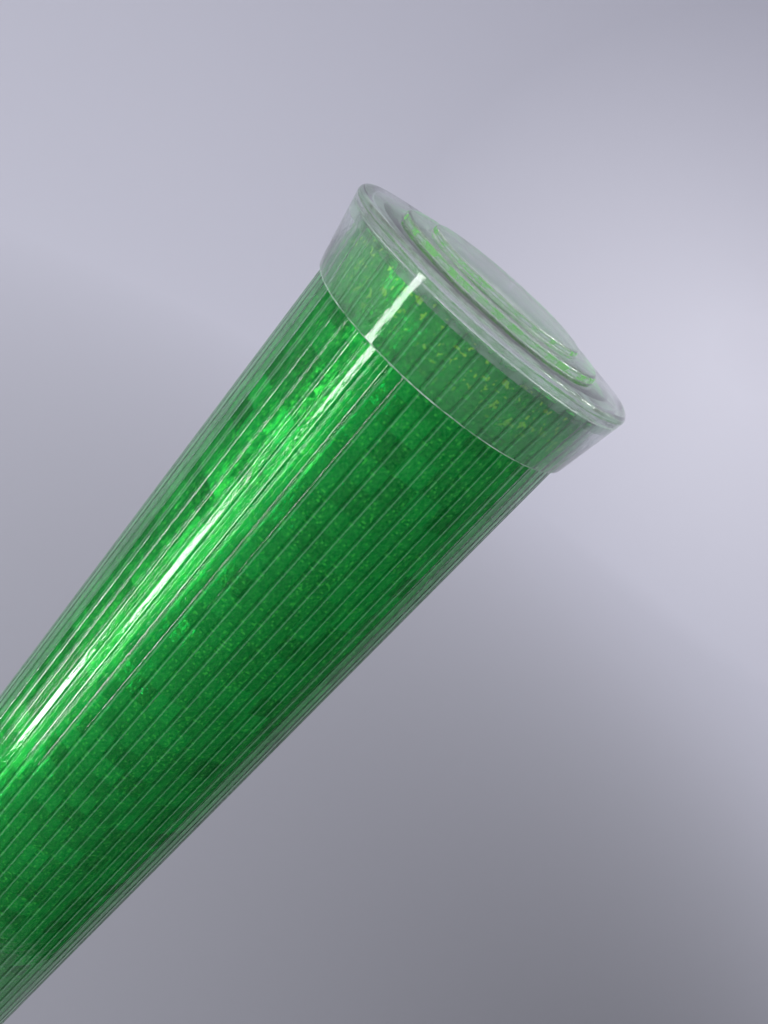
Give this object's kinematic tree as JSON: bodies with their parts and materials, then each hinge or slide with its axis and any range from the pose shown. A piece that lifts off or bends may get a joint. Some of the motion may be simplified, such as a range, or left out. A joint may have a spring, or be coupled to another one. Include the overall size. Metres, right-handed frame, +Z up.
{
  "type": "delineator post",
  "caption": "Spring-back road delineator post: clear ribbed tube over a green reflective sheet, clear flared end cap, recoil spring and round anchored foot.",
  "frame": {"origin": "centre of the foot's underside, on the ground", "axes": "+Z up the post towards the cap; the lower knuckle pin lies along X and the upper one along Y; +Y is the side of the sheet's seam"},
  "size_m": [0.18, 0.18, 0.75],
  "materials": {
    "clear_plastic": "clear polished acrylic",
    "clear_soft_ring": "clear soft plastic",
    "green_prismatic": "micro-prismatic retroreflective film",
    "core_plastic": "extruded matt",
    "black_plastic": "moulded, fine texture",
    "black_rubber": "matt",
    "black_coat": "powder coat over cast iron",
    "zinc_steel": "bright zinc plate",
    "bare_steel": "machined and oiled",
    "bronze": "sintered"
  },
  "bodies": {
    "base": {"base_pad": "black_rubber", "base_plate": "black_coat", "spring_socket": "black_coat", "socket_washers": "zinc_steel", "socket_screws": "zinc_steel", "lower_set_screws": "zinc_steel", "lower_clevis": "bare_steel", "lower_clevis_nut": "zinc_steel", "lower_pin": "bare_steel", "lower_pin_clip": "bare_steel", "recoil_spring": "zinc_steel"},
    "knuckle": {"knuckle_link": "bare_steel", "lower_bush": "bronze", "upper_bush": "bronze"},
    "post": {"upper_clevis": "bare_steel", "upper_clevis_nut": "zinc_steel", "upper_pin": "bare_steel", "upper_pin_clip": "bare_steel", "spring_head": "black_coat", "upper_set_screws": "zinc_steel", "core_tube": "core_plastic", "core_screws": "zinc_steel", "core_end_plug": "core_plastic", "tube_seat_ring": "black_rubber", "lower_collar": "black_plastic", "collar_screws": "zinc_steel", "reflective_liner": "green_prismatic", "lens_tube": "clear_plastic", "cap_gasket": "clear_soft_ring"},
    "cap": {"top_cap": "clear_plastic"}
  },
  "joints": [
    {"name": "tilt_fore_aft", "type": "hinge", "parent": "base", "child": "knuckle", "pos_m": [0, 0, 0.0815], "axis": [1, 0, 0], "range_deg": [-90, 90], "stiffness_Nm_per_rad": 30, "deforming": ["recoil_spring"]},
    {"name": "tilt_sideways", "type": "hinge", "parent": "knuckle", "child": "post", "pos_m": [0, 0, 0.1365], "axis": [0, 1, 0], "range_deg": [-90, 90], "stiffness_Nm_per_rad": 30},
    {"name": "cap_pull", "type": "slide", "parent": "post", "child": "cap", "axis": [0, 0, 1], "range_m": [0, 0.03]}
  ]
}
